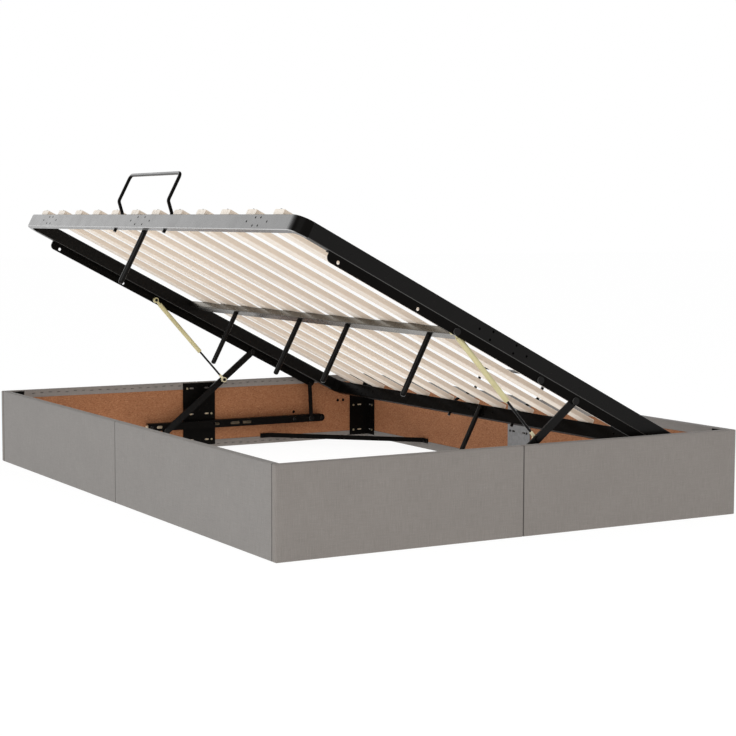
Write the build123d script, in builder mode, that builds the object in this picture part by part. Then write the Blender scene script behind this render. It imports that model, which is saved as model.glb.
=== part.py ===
from build123d import *
import os
from math import atan2, cos, degrees, hypot, radians, sin

# Side-lift storage bed: an upholstered base box with a slatted steel platform,
# drawn raised on its lift linkage.
#
# Millimetres. +X runs across the bed from the lifting side to the hinge side, +Y along
# it from foot to head, +Z up. The origin is on the floor under the middle of the base.
# The platform has a frame of its own: u from the lifting edge to the hinge edge, v along
# the bed, w square to the slats. w is zero on top of the steel frame.
# Distances called a layer are measured from the middle plane of the bed towards an end.
# The foot end's linkage is drawn, and the head end's is its mirror image.

os.makedirs("parts", exist_ok=True)

# Base box
base_length = 2030
base_width = 1440
base_height = 238
board_thickness = 20
cloth_thickness = 1
cloth_return_top = 25
cloth_return_bottom = 27
cloth_return_end = 25

# Joining plates and brackets inside the box
plate_width = 124
plate_height = 224
plate_rise = 4
plate_thickness = 3
seam_slot_place = 29
seam_screw_place = 47
long_leg = 78
long_leg_slot = 37
long_leg_screw = 64
short_leg = 50
short_leg_slot = 18
short_leg_screw = 38
screw_edge = 19
screw_radius = 2
screw_grip = 11
screw_head_radius = 3.8
screw_head_height = 2.2
screw_clearance = 0.1
plate_slot_length = 18
plate_slot_height = 6

# Small spare holes drilled in the short sides' hinge halves, measured from the hinge side
spare_hole_radius = 5.5
spare_hole_depth = 12
spare_low_setback = 315
spare_low_height = 110
spare_high_setback = 106
spare_high_pitch = 23
spare_high_height = 144

# Corner braces on the hinge side
brace_reach_x = 453
brace_reach_y = 430
brace_tab = 40
brace_height = 16
brace_strip = 4
brace_lift = 22
brace_bolt_radius = 6
brace_bolt_height = 3

# Platform frame, of rectangular steel tube, with a gap all round inside the base
ring_gap = 23
bar_depth = 20
bar_height = 43
bar_wall = 2
bar_edge_round = 2.5
corner_radius = 42
mid_bar_width = 40
mid_bar_height = 20
joint_hole_radius = 3.2
joint_hole_drop = 21
joint_row_spread = 11.5
end_cluster_setback = 221
end_cluster_outer = 57
end_cluster_inner = 15
mid_cluster_outer = 68
mid_cluster_inner = 26
side_cluster_outer = 83
side_cluster_inner = 41
mid_bar_hole_pitch = 25
mid_bar_hole_radius = 4.2

# Slats
slat_count = 12
slat_end_margin = 131.25
slat_width = 53
slat_thickness = 16
slat_end_inset = 4
slat_round = 4
slat_screw_radius = 2.5
slat_screw_tail = 3
slat_head_radius = 5
slat_head_height = 2.5

# Legs under the platform
leg_radius = 8
leg_wall = 1.5
leg_plug = 12
leg_flat = 1
leg_round = 6
leg_top_drop = 4
leg_floor_gap = 2
mid_leg_gaps = (-4, -1, 1, 4)

# Mattress stops of bent rod
stop_rod_radius = 5
stop_slat_gap = 21.25
stop_seat_inset = 10
stop_tail = 10
stop_hole_clearance = 0.3
stop_bend = 14
stop_bend_rise = 5
lift_stop_kink_out = 28
lift_stop_kink_rise = 34
lift_stop_top = 120
hinge_stop_kink_out = 53
hinge_stop_kink_rise = 68
hinge_stop_top = 148

# Platform position: its hinge edge closed, and how that edge moves as it rises
platform_tilt = 27.36
closed_height = 210.6
hinge_edge_shift = 103.2
hinge_edge_rise = 0.8

# Top bracket under each side bar. A setback is measured from the hinge edge.
flange_inset = 1
flange_thickness = 3
flange_drop = 25
shelf_thickness = 2
flange_nose_u = 111
flange_tail_setback = 107
flange_round = 15
shelf_end_setback = 200
open_hole_radius = 5
open_hole_drop = 57.5
open_hole_inset = 34
open_hole_share = 0.69
spare_bolt_setback = 522

# Lift linkage
pivot_radius = 5
pivot_clearance = 0.05
side_clearance = 0.3
bolt_clearance = 0.1
arm_thickness = 5
front_arm_width = 23
rear_arm_width = 14
front_top_setback = 391.8
front_top_drop = 58.5
front_base_z = 71.9
rear_top_drop = 61
rear_base_setback = 235.2
rear_base_z = 86.5
pivot_head_radius = 10
pivot_head_height = 4
pivot_nut_radius = 6.8
pivot_nut_height = 5
rear_boss_radius = 6
rear_boss_height = 3

# Base rail that carries the linkage, measured from the arms' base pivots
rail_start_margin = 67.4
rail_end_margin = 58.2
rail_bottom = 73
rail_height = 27
rail_metal = 2.5
rail_ear_radius = 15
rail_bolt_radius = 3.5
rail_bolt_head_radius = 6
rail_bolt_head_height = 3.7
rail_bolt_grip = 11
rail_bolt_inset = 12
rail_bolt_setback = 68
rail_slot_height = 10
rail_slot_length = 37
rail_slot_setback = 261
rail_slot_pitch = 48
rail_slot_short_length = 22
rail_slot_short_setback = 380.8
rail_slot_start_inset = 42

# Gas struts
strut_top_setback = 817
strut_top_drop = 58
strut_arm_share = 0.65
strut_tube_radius = 7.5
strut_tube_wall = 1.5
strut_tube_length = 250
strut_eye_radius = 9
strut_eye_thickness = 10
strut_pin_radius = 4
strut_neck_radius = 4.5
strut_neck_length = 20
strut_plug_length = 10
strut_gland_length = 6
strut_rod_radius = 3.5
strut_fitting_radius = 4.5
strut_fitting_length = 24
strut_piston_length = 8
strut_piston_clearance = 0.2
strut_inner_reach = 18
strut_boss_radius = 7
strut_rivet_radius = 8
strut_rivet_height = 3
strut_cap_radius = 5
strut_cap_height = 3
strut_edge_round = 1.2

# Beyond a hole's mouth or a screw's tip, and how near counts as touching
overrun = 5
touch = 0.001

# Sizes that follow
wall = board_thickness + 2 * cloth_thickness
inner_half_width = base_width / 2 - wall
inner_half_length = base_length / 2 - wall
plate_middle = base_height / 2 + plate_rise
plate_bottom = plate_middle - plate_height / 2
ring_width = 2 * (inner_half_width - ring_gap)
ring_length = 2 * (inner_half_length - ring_gap)
ring_half = ring_length / 2
slat_pitch = (ring_length - 2 * slat_end_margin) / (slat_count - 1)
stop_half_span = 3 * slat_pitch / 2 - slat_width / 2 - stop_slat_gap
strut_bore_radius = strut_tube_radius - strut_tube_wall

flange_outer_layer = ring_half - flange_inset
flange_inner_layer = flange_outer_layer - flange_thickness
arm_outer_layer = flange_inner_layer - side_clearance
arm_inner_layer = arm_outer_layer - arm_thickness
strut_layer = arm_inner_layer - side_clearance - strut_tube_radius
eye_outer_layer = strut_layer + strut_eye_thickness / 2
eye_inner_layer = strut_layer - strut_eye_thickness / 2
rail_back_layer = inner_half_length - plate_thickness

tilt = radians(platform_tilt)
lift_edge_x = ring_width / 2 - hinge_edge_shift - ring_width * cos(tilt)
lift_edge_z = closed_height + hinge_edge_rise + ring_width * sin(tilt)

flange_tail_u = ring_width - flange_tail_setback
shelf_end_u = ring_width - shelf_end_setback
front_top_u = ring_width - front_top_setback
strut_top_u = ring_width - strut_top_setback
spare_bolt_u = ring_width - spare_bolt_setback
open_hole_first_u = flange_nose_u + open_hole_inset
open_hole_second_u = flange_nose_u + open_hole_share * (strut_top_u - flange_nose_u)
rear_base_x = ring_width / 2 - rear_base_setback


def raised(u, drop):
    """x and z of a platform point in the raised position."""
    return (
        lift_edge_x + u * cos(tilt) - drop * sin(tilt),
        lift_edge_z - u * sin(tilt) - drop * cos(tilt),
    )


def closed(u, drop):
    """x and z of the same platform point with the bed closed."""
    return (u - ring_width / 2, closed_height - drop)


# The front arm's base pivot is as far from its top pivot raised as closed.
front_up = raised(front_top_u, front_top_drop)
front_down = closed(front_top_u, front_top_drop)
front_base_x = (
    front_down[0] ** 2 - front_up[0] ** 2
    + (front_down[1] - front_base_z) ** 2 - (front_up[1] - front_base_z) ** 2
) / (2 * (front_down[0] - front_up[0]))
front_base = (front_base_x, front_base_z)

# The rear arm's top pivot is placed along the platform by the same rule.
rear_base = (rear_base_x, rear_base_z)
start_up = raised(0, rear_top_drop)
start_down = closed(0, rear_top_drop)
up_x, up_z = start_up[0] - rear_base_x, start_up[1] - rear_base_z
down_x, down_z = start_down[0] - rear_base_x, start_down[1] - rear_base_z
rear_top_u = (down_x ** 2 + down_z ** 2 - up_x ** 2 - up_z ** 2) / (
    2 * (up_x * cos(tilt) - up_z * sin(tilt) - down_x)
)
rear_up = raised(rear_top_u, rear_top_drop)
rear_down = closed(rear_top_u, rear_top_drop)

strut_up = raised(strut_top_u, strut_top_drop)
strut_down = closed(strut_top_u, strut_top_drop)


def between(start, end, share):
    """A point that share of the way from start to end."""
    return (start[0] + share * (end[0] - start[0]), start[1] + share * (end[1] - start[1]))


def span(start, end):
    """Distance between two points."""
    return hypot(end[0] - start[0], end[1] - start[1])


def heading(start, end):
    """Angle from start to end, anticlockwise from the first axis."""
    return atan2(end[1] - start[1], end[0] - start[0])


strut_foot = between(front_base, front_up, strut_arm_share)
strut_foot_down = between(front_base, front_down, strut_arm_share)
strut_rest = span(strut_up, strut_foot)
strut_stroke = strut_rest - span(strut_down, strut_foot_down)


def top_plane(height=0):
    """Plane of the platform at a height w, with sketch axes u and v."""
    plane = Plane(
        origin=(lift_edge_x, 0, lift_edge_z),
        x_dir=(cos(tilt), 0, -sin(tilt)),
        z_dir=(sin(tilt), 0, cos(tilt)),
    )
    return plane.offset(height)


def platform_layer(layer):
    """Upright plane of the platform at the foot end, with sketch axes u and w."""
    return Plane(
        origin=(lift_edge_x, -layer, lift_edge_z),
        x_dir=(cos(tilt), 0, -sin(tilt)),
        z_dir=(0, -1, 0),
    )


def base_layer(layer):
    """Upright plane of the base at the foot end, with sketch axes x and z."""
    return Plane(origin=(0, -layer, 0), x_dir=(1, 0, 0), z_dir=(0, -1, 0))


def keep(piece, name):
    """Label one finished piece and write it."""
    piece.part.label = name
    export_step(piece.part, f"parts/{name}.step")


def keep_pair(piece, name):
    """Write the foot end's piece and its mirror image at the head end."""
    keep(piece, f"{name}_foot")
    with BuildPart() as twin:
        mirror(piece.part, about=Plane.XZ)
    keep(twin, f"{name}_head")


# Each side of the base: its outer face's plane on the floor with x along the side and
# y inwards, the length of each half, and how far the inner corner is from the end.
long_half = base_length / 2 - wall
sides = {
    "foot": (Plane(origin=(0, -base_length / 2, 0), x_dir=(1, 0, 0)), base_width / 2, wall),
    "head": (Plane(origin=(0, base_length / 2, 0), x_dir=(-1, 0, 0)), base_width / 2, wall),
    "lift": (Plane(origin=(-base_width / 2, 0, 0), x_dir=(0, -1, 0)), long_half, 0),
    "hinge": (Plane(origin=(base_width / 2, 0, 0), x_dir=(0, 1, 0)), long_half, 0),
}
half_names = {
    "foot": {-1: "lift", 1: "hinge"},
    "head": {-1: "hinge", 1: "lift"},
    "lift": {-1: "head", 1: "foot"},
    "hinge": {-1: "foot", 1: "head"},
}
screw_rows = (
    plate_bottom + screw_edge,
    plate_middle,
    plate_bottom + plate_height - screw_edge,
)
rail_middle = rail_bottom + rail_height / 2
rail_start_x = front_base_x - rail_start_margin
rail_end_x = rear_base_x + rail_end_margin
rail_slot_x = rear_base_x - rail_slot_setback
rail_bolt_xs = (
    rail_start_x + rail_bolt_inset,
    rear_base_x - rail_bolt_setback,
    rail_end_x - rail_bolt_inset,
)


def inside_plane(side, depth):
    """Plane of a side at a depth from its outer face, facing out, with height as y."""
    outer = sides[side][0]
    return Plane(origin=outer.origin + outer.y_dir * depth, x_dir=outer.x_dir, z_dir=-outer.y_dir)


def corner_leg(side, half):
    """Length, slot place and screw place of a corner bracket's leg on one half of a side."""
    if side == "lift" or half_names[side][half] == "hinge":
        return long_leg, long_leg_slot, long_leg_screw
    return short_leg, short_leg_slot, short_leg_screw


def screw_points(side, half):
    """Places of the screws in one half of a side."""
    reach = sides[side][1] - sides[side][2]
    columns = (seam_screw_place, reach - corner_leg(side, half)[2])
    return [(half * column, row) for column in columns for row in screw_rows]


def short_side_points(side, half, places):
    """The given x and z places that fall in one half of the foot or head side."""
    turn = {"foot": 1, "head": -1}.get(side, 0)
    return [(turn * x, z) for x, z in places if turn * x * half > 0]


def drill(side, points, radius, depth):
    """Drill blind holes outwards from the inner face of a side."""
    if points:
        with BuildSketch(inside_plane(side, wall)) as holes:
            with Locations(*points):
                Circle(radius)
        extrude(holes.sketch, amount=depth, mode=Mode.SUBTRACT)


def drill_panel(side, half):
    """Holes for the screws, the rail's bolts and the spare holes in one half."""
    rail_places = [(x, rail_middle) for x in rail_bolt_xs]
    spare_places = [
        (inner_half_width - spare_low_setback, spare_low_height),
        (inner_half_width - spare_high_setback, spare_high_height),
        (inner_half_width - spare_high_setback - spare_high_pitch, spare_high_height),
    ]
    drill(side, screw_points(side, half), screw_radius + screw_clearance, screw_grip + overrun)
    rail_points = short_side_points(side, half, rail_places)
    drill(side, rail_points, rail_bolt_radius + screw_clearance, rail_bolt_grip + screw_clearance)
    drill(side, short_side_points(side, half, spare_places), spare_hole_radius, spare_hole_depth)


def panel_board(side, half):
    """Chipboard core of one half of a side."""
    outer, length, _ = sides[side]
    with BuildPart() as board:
        with BuildSketch(outer.offset(cloth_thickness)):
            with Locations((half * length / 2, wall / 2)):
                Rectangle(length - 2 * cloth_thickness, board_thickness)
        extrude(amount=base_height - 2 * cloth_thickness)
        drill_panel(side, half)
    keep(board, f"board_{side}_{half_names[side][half]}")


def panel_cover(side, half):
    """Cloth wrapped round the board and turned onto its inner face as a border."""
    outer, length, _ = sides[side]
    middle = half * length / 2
    opening = length - 2 * cloth_return_end
    opening_height = base_height - cloth_return_top - cloth_return_bottom
    with BuildPart() as cover:
        with BuildSketch(outer):
            with Locations((middle, wall / 2)):
                Rectangle(length, wall)
        extrude(amount=base_height)
        with BuildSketch(outer.offset(cloth_thickness)):
            with Locations((middle, wall / 2)):
                Rectangle(length - 2 * cloth_thickness, board_thickness)
        extrude(amount=base_height - 2 * cloth_thickness, mode=Mode.SUBTRACT)
        with BuildSketch(inside_plane(side, wall)):
            with Locations((middle, cloth_return_bottom + opening_height / 2)):
                Rectangle(opening, opening_height)
        extrude(amount=cloth_thickness, mode=Mode.SUBTRACT)
        drill_panel(side, half)
    keep(cover, f"cover_{side}_{half_names[side][half]}")


for side_name in sides:
    for half_sign in (-1, 1):
        panel_board(side_name, half_sign)
        panel_cover(side_name, half_sign)


def plate_holes(half, slot, screw):
    """Cut a slot and a screw hole in each row of the open sketch."""
    with Locations(*[(half * slot, row) for row in screw_rows]):
        SlotOverall(plate_slot_length, plate_slot_height, mode=Mode.SUBTRACT)
    with Locations(*[(half * screw, row) for row in screw_rows]):
        Circle(screw_radius + screw_clearance, mode=Mode.SUBTRACT)


# Flat plates across the four mid seams
with BuildPart() as seam_plates:
    for side_name in sides:
        with BuildSketch(inside_plane(side_name, wall + plate_thickness)):
            with Locations((0, plate_middle)):
                Rectangle(plate_width, plate_height)
            for half_sign in (-1, 1):
                plate_holes(half_sign, seam_slot_place, seam_screw_place)
        extrude(amount=plate_thickness)
keep(seam_plates, "seam_plates")

# Right-angle brackets in the four inner corners, each with a long leg on one side and a
# short leg on the next
with BuildPart() as corner_brackets:
    for side_name in sides:
        reach = sides[side_name][1] - sides[side_name][2]
        with BuildSketch(inside_plane(side_name, wall + plate_thickness)):
            for half_sign in (-1, 1):
                leg_length, leg_slot, leg_screw = corner_leg(side_name, half_sign)
                with Locations((half_sign * (reach - leg_length / 2), plate_middle)):
                    Rectangle(leg_length, plate_height)
                plate_holes(half_sign, reach - leg_slot, reach - leg_screw)
        extrude(amount=plate_thickness)
keep(corner_brackets, "corner_brackets")

# Screws of the plates and brackets
with BuildPart() as base_screws:
    for side_name in sides:
        for half_sign in (-1, 1):
            places = screw_points(side_name, half_sign)
            with BuildSketch(inside_plane(side_name, wall + plate_thickness)):
                with Locations(*places):
                    Circle(screw_head_radius)
            extrude(amount=-screw_head_height)
            with BuildSketch(inside_plane(side_name, wall + plate_thickness)):
                with Locations(*places):
                    Circle(screw_radius)
            extrude(amount=plate_thickness + screw_grip)
keep(base_screws, "base_screws")

# Diagonal braces low in the two hinge-side corners
with BuildPart() as corner_braces:
    for turn_y in (-1, 1):
        end_wall = turn_y * (inner_half_length - brace_strip / 2)
        side_wall = inner_half_width - brace_strip / 2
        brace_start_x = inner_half_width - brace_reach_x
        brace_stop_y = turn_y * (inner_half_length - brace_reach_y)
        with BuildSketch(Plane.XY.offset(brace_lift)):
            with BuildLine():
                Polyline(
                    (brace_start_x, end_wall),
                    (brace_start_x + brace_tab, end_wall),
                    (side_wall, brace_stop_y + turn_y * brace_tab),
                    (side_wall, brace_stop_y),
                )
            trace(line_width=brace_strip)
        extrude(amount=brace_height)
        bolt_x = brace_start_x + brace_tab / 2
        bolt_y = brace_stop_y + turn_y * brace_tab / 2
        brace_middle = brace_lift + brace_height / 2
        end_side = "foot" if turn_y < 0 else "head"
        for bolt_side, bolt_at in ((end_side, -turn_y * bolt_x), ("hinge", bolt_y)):
            with BuildSketch(inside_plane(bolt_side, wall + brace_strip)):
                with Locations((bolt_at, brace_middle)):
                    Circle(brace_bolt_radius)
            extrude(amount=-brace_bolt_height)
keep(corner_braces, "corner_braces")


def ring_band(inset, start, end):
    """Sketch of the frame's band from start to end along u, its walls set in by inset."""
    with Locations((ring_width / 2, 0)):
        RectangleRounded(
            ring_width - 2 * inset, ring_length - 2 * inset, corner_radius - inset
        )
        core = bar_depth - inset
        RectangleRounded(
            ring_width - 2 * core,
            ring_length - 2 * core,
            corner_radius - core,
            mode=Mode.SUBTRACT,
        )
    with Locations(((start + end) / 2, 0)):
        Rectangle(end - start, ring_length, mode=Mode.INTERSECT)


def cluster(middle, outer, inner):
    """Six holes of one joint, as places along a bar and across it."""
    return [
        (middle - outer, -joint_hole_drop),
        (middle + outer, -joint_hole_drop),
        (middle - inner, -joint_hole_drop - joint_row_spread),
        (middle + inner, -joint_hole_drop - joint_row_spread),
        (middle - inner, -joint_hole_drop + joint_row_spread),
        (middle + inner, -joint_hole_drop + joint_row_spread),
    ]


slat_places = [(index - (slat_count - 1) / 2) * slat_pitch for index in range(slat_count)]
end_cluster_v = ring_half - end_cluster_setback
long_bar_holes = (
    cluster(-end_cluster_v, end_cluster_outer, end_cluster_inner)
    + cluster(0, mid_cluster_outer, mid_cluster_inner)
    + cluster(end_cluster_v, end_cluster_outer, end_cluster_inner)
)


def cross_plane(u):
    """Plane square to the platform's u axis at u."""
    frame = top_plane()
    return Plane(origin=frame.origin + frame.x_dir * u, x_dir=frame.y_dir, z_dir=frame.x_dir)


def round_bar(bar, end_planes):
    """Round a bar's long edges, which are all but those that lie in its end planes."""

    def at_an_end(edge):
        return any(
            all(abs(plane.to_local_coords(edge @ place).Z) < touch for place in (0, 1 / 2, 1))
            for plane in end_planes
        )

    fillet([edge for edge in bar.edges() if not at_an_end(edge)], radius=bar_edge_round)


def long_bar(name, start, end, cut_u, stop_u, screw_u, face_u):
    """Bar along the lifting or the hinge edge, with the bends at both of its ends."""
    with BuildPart() as bar:
        with BuildSketch(top_plane(-bar_height)):
            ring_band(0, start, end)
        extrude(amount=bar_height)
        round_bar(bar, [cross_plane(cut_u)])
        with BuildSketch(top_plane(bar_wall - bar_height)):
            ring_band(bar_wall, start, end)
        extrude(amount=bar_height - 2 * bar_wall, mode=Mode.SUBTRACT)
        with BuildSketch(top_plane(-bar_height)):
            with Locations((stop_u, -stop_half_span), (stop_u, stop_half_span)):
                Circle(stop_rod_radius + stop_hole_clearance)
        extrude(amount=bar_height, mode=Mode.SUBTRACT)
        with BuildSketch(top_plane(-bar_wall)):
            with Locations(*[(screw_u, v) for v in slat_places]):
                Circle(slat_screw_radius + screw_clearance)
        extrude(amount=bar_wall, mode=Mode.SUBTRACT)
        with BuildSketch(cross_plane(face_u)):
            with Locations(*long_bar_holes):
                Circle(joint_hole_radius)
        extrude(amount=bar_depth, mode=Mode.SUBTRACT)
    keep(bar, name)


long_bar("lift_bar", 0, corner_radius, corner_radius, stop_seat_inset, bar_depth / 2, 0)
long_bar(
    "hinge_bar",
    ring_width - corner_radius,
    ring_width,
    ring_width - corner_radius,
    ring_width - stop_seat_inset,
    ring_width - bar_depth / 2,
    ring_width - bar_depth,
)

# Straight bars of the two short sides
with BuildPart() as side_bar:
    side_length = ring_width - 2 * corner_radius
    with BuildSketch(top_plane(-bar_height)):
        with Locations((ring_width / 2, -ring_half + bar_depth / 2)):
            Rectangle(side_length, bar_depth)
    extrude(amount=bar_height)
    round_bar(side_bar, [cross_plane(corner_radius), cross_plane(ring_width - corner_radius)])
    with BuildSketch(top_plane(bar_wall - bar_height)):
        with Locations((ring_width / 2, -ring_half + bar_depth / 2)):
            Rectangle(side_length, bar_depth - 2 * bar_wall)
    extrude(amount=bar_height - 2 * bar_wall, mode=Mode.SUBTRACT)
    with BuildSketch(platform_layer(ring_half - bar_wall)):
        with Locations(*cluster(ring_width / 2, side_cluster_outer, side_cluster_inner)):
            Circle(joint_hole_radius)
    extrude(amount=bar_wall, mode=Mode.SUBTRACT)
keep_pair(side_bar, "side_bar")

# Bar along the middle
with BuildPart() as mid_bar:
    mid_bar_length = ring_length - 2 * bar_depth
    with BuildSketch(top_plane(-mid_bar_height)):
        with Locations((ring_width / 2, 0)):
            Rectangle(mid_bar_width, mid_bar_length)
    extrude(amount=mid_bar_height)
    round_bar(mid_bar, [Plane.XZ.offset(end * mid_bar_length / 2) for end in (-1, 1)])
    with BuildSketch(top_plane(bar_wall - mid_bar_height)):
        with Locations((ring_width / 2, 0)):
            Rectangle(mid_bar_width - 2 * bar_wall, mid_bar_length)
    extrude(amount=mid_bar_height - 2 * bar_wall, mode=Mode.SUBTRACT)
    with BuildSketch(top_plane(-mid_bar_height)):
        with Locations((ring_width / 2, 0)):
            with GridLocations(mid_bar_hole_pitch, mid_bar_hole_pitch, 2, 2):
                Circle(mid_bar_hole_radius)
    extrude(amount=bar_wall, mode=Mode.SUBTRACT)
    with BuildSketch(top_plane(-bar_wall)):
        with Locations(*[(ring_width / 2, v) for v in slat_places]):
            Circle(slat_screw_radius + screw_clearance)
    extrude(amount=bar_wall, mode=Mode.SUBTRACT)
keep(mid_bar, "mid_bar")

slat_screw_us = (bar_depth / 2, ring_width / 2, ring_width - bar_depth / 2)

for slat_number, slat_v in enumerate(slat_places, start=1):
    with BuildPart() as slat:
        with BuildSketch(top_plane()):
            with Locations((ring_width / 2, slat_v)):
                Rectangle(ring_width - 2 * slat_end_inset, slat_width)
        extrude(amount=slat_thickness)
        long_edges = slat.edges().sort_by(SortBy.LENGTH)[-4:]
        fillet(long_edges, radius=slat_round)
        with BuildSketch(top_plane()):
            with Locations(*[(u, slat_v) for u in slat_screw_us]):
                Circle(slat_screw_radius + screw_clearance)
        extrude(amount=slat_thickness, mode=Mode.SUBTRACT)
    keep(slat, f"slat_{slat_number:02d}")

# Screws through the slats into the three bars
with BuildPart() as slat_screws:
    screw_places = [(u, v) for u in slat_screw_us for v in slat_places]
    with BuildSketch(top_plane(slat_thickness)):
        with Locations(*screw_places):
            Circle(slat_head_radius)
    extrude(amount=slat_head_height)
    with BuildSketch(top_plane(slat_thickness)):
        with Locations(*screw_places):
            Circle(slat_screw_radius)
    extrude(amount=-(slat_thickness + bar_wall + slat_screw_tail))
keep(slat_screws, "slat_screws")

leg_tip_drop = closed_height - leg_floor_gap


def leg(name, u, v, top_drop, face_u=None):
    """Round tube leg with a plugged tip, flat where it stands against a bar's inner face."""
    with BuildPart() as post:
        with BuildSketch(top_plane(-leg_tip_drop)):
            with Locations((u, v)):
                Circle(leg_radius)
        extrude(amount=leg_tip_drop - top_drop)
        tip_edge = post.edges().filter_by(GeomType.CIRCLE).sort_by(Axis.Z)[0]
        fillet(tip_edge, radius=leg_round)
        with BuildSketch(top_plane(leg_plug - leg_tip_drop)):
            with Locations((u, v)):
                Circle(leg_radius - leg_wall)
        extrude(amount=leg_tip_drop - leg_plug - top_drop, mode=Mode.SUBTRACT)
        if face_u is not None:
            away = 1 if face_u > u else -1
            with BuildSketch(top_plane(-bar_height)):
                with Locations((face_u + away * leg_radius, v)):
                    Rectangle(2 * leg_radius, 2 * leg_radius)
            extrude(amount=bar_height, mode=Mode.SUBTRACT)
    keep(post, name)


leg_inset = bar_depth + leg_radius - leg_flat
leg("leg_lift", leg_inset, 0, leg_top_drop, bar_depth)
leg("leg_hinge", ring_width - leg_inset, 0, leg_top_drop, ring_width - bar_depth)
for leg_number, slat_gap in enumerate(mid_leg_gaps, start=1):
    leg(f"leg_mid_{leg_number}", ring_width / 2, slat_gap * slat_pitch, mid_bar_height)


def mattress_stop(name, seat_u, kink_u, kink_rise, top_rise):
    """Hoop of round rod through a long bar, kinked outwards and closed across the top."""
    frame = top_plane()

    def place(u, v, w):
        return frame.origin + frame.x_dir * u + frame.y_dir * v + frame.z_dir * w

    foot_drop = -bar_height - stop_tail
    with BuildPart() as stop:
        with BuildLine() as route:
            FilletPolyline(
                place(seat_u, -stop_half_span, foot_drop),
                place(seat_u, -stop_half_span, stop_bend_rise),
                place(kink_u, -stop_half_span, kink_rise),
                place(kink_u, -stop_half_span, top_rise),
                place(kink_u, stop_half_span, top_rise),
                place(kink_u, stop_half_span, kink_rise),
                place(seat_u, stop_half_span, stop_bend_rise),
                place(seat_u, stop_half_span, foot_drop),
                radius=stop_bend,
            )
        with BuildSketch(Plane(origin=route.line @ 0, z_dir=route.line % 0)):
            Circle(stop_rod_radius)
        sweep()
    keep(stop, name)


mattress_stop(
    "mattress_stop_lift",
    stop_seat_inset,
    stop_seat_inset - lift_stop_kink_out,
    lift_stop_kink_rise,
    lift_stop_top,
)
mattress_stop(
    "mattress_stop_hinge",
    ring_width - stop_seat_inset,
    ring_width - stop_seat_inset + hinge_stop_kink_out,
    hinge_stop_kink_rise,
    hinge_stop_top,
)

# Angle bracket under each side bar
flange_bolts = (
    (front_top_u, front_top_drop, pivot_radius),
    (rear_top_u, rear_top_drop, pivot_radius),
    (strut_top_u, strut_top_drop, strut_pin_radius),
    (spare_bolt_u, open_hole_drop, strut_pin_radius),
)
with BuildPart() as top_bracket:
    with BuildSketch(platform_layer(flange_inner_layer)) as flange_face:
        with Locations(((flange_nose_u + flange_tail_u) / 2, -bar_height - flange_drop / 2)):
            Rectangle(flange_tail_u - flange_nose_u, flange_drop)
        low_corners = flange_face.vertices().group_by(Axis.Y)[0]
        fillet(low_corners, radius=flange_round)
        with Locations((open_hole_first_u, -open_hole_drop), (open_hole_second_u, -open_hole_drop)):
            Circle(open_hole_radius, mode=Mode.SUBTRACT)
        for u, drop, radius in flange_bolts:
            with Locations((u, -drop)):
                Circle(radius + bolt_clearance, mode=Mode.SUBTRACT)
    extrude(amount=flange_thickness)
    with BuildSketch(top_plane(-bar_height - shelf_thickness)):
        shelf_depth = flange_inner_layer - (ring_half - bar_depth)
        shelf_middle = (flange_nose_u + shelf_end_u) / 2
        with Locations((shelf_middle, -flange_inner_layer + shelf_depth / 2)):
            Rectangle(shelf_end_u - flange_nose_u, shelf_depth)
    extrude(amount=shelf_thickness)
keep_pair(top_bracket, "top_bracket")


def disc(plane, place, radius, depth):
    """Round boss from a layer's plane, outwards for a positive depth."""
    with BuildSketch(plane) as round_face:
        with Locations(place):
            Circle(radius)
    extrude(round_face.sketch, amount=depth)


# Front arms, with the rivet and the boss that the gas strut's lower end lies against
with BuildPart() as front_arm:
    with BuildSketch(base_layer(arm_inner_layer)):
        with Locations(between(front_base, front_up, 1 / 2)):
            SlotCenterToCenter(
                span(front_base, front_up),
                front_arm_width,
                rotation=degrees(heading(front_base, front_up)),
            )
        with Locations(front_base, front_up):
            Circle(pivot_radius + pivot_clearance, mode=Mode.SUBTRACT)
    extrude(amount=arm_thickness)
    boss_height = arm_inner_layer - eye_outer_layer - side_clearance
    disc(base_layer(arm_inner_layer), strut_foot, strut_boss_radius, -boss_height)
    disc(base_layer(arm_outer_layer), strut_foot, strut_rivet_radius, strut_rivet_height)
keep_pair(front_arm, "front_arm")

# Rear arms, with a round nut at the top end
with BuildPart() as rear_arm:
    with BuildSketch(base_layer(arm_inner_layer)):
        with Locations(between(rear_base, rear_up, 1 / 2)):
            SlotCenterToCenter(
                span(rear_base, rear_up),
                rear_arm_width,
                rotation=degrees(heading(rear_base, rear_up)),
            )
        with Locations(rear_base):
            Circle(pivot_radius + pivot_clearance, mode=Mode.SUBTRACT)
    extrude(amount=arm_thickness)
    disc(base_layer(arm_inner_layer), rear_up, rear_boss_radius, -rear_boss_height)
keep_pair(rear_arm, "rear_arm")

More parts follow.
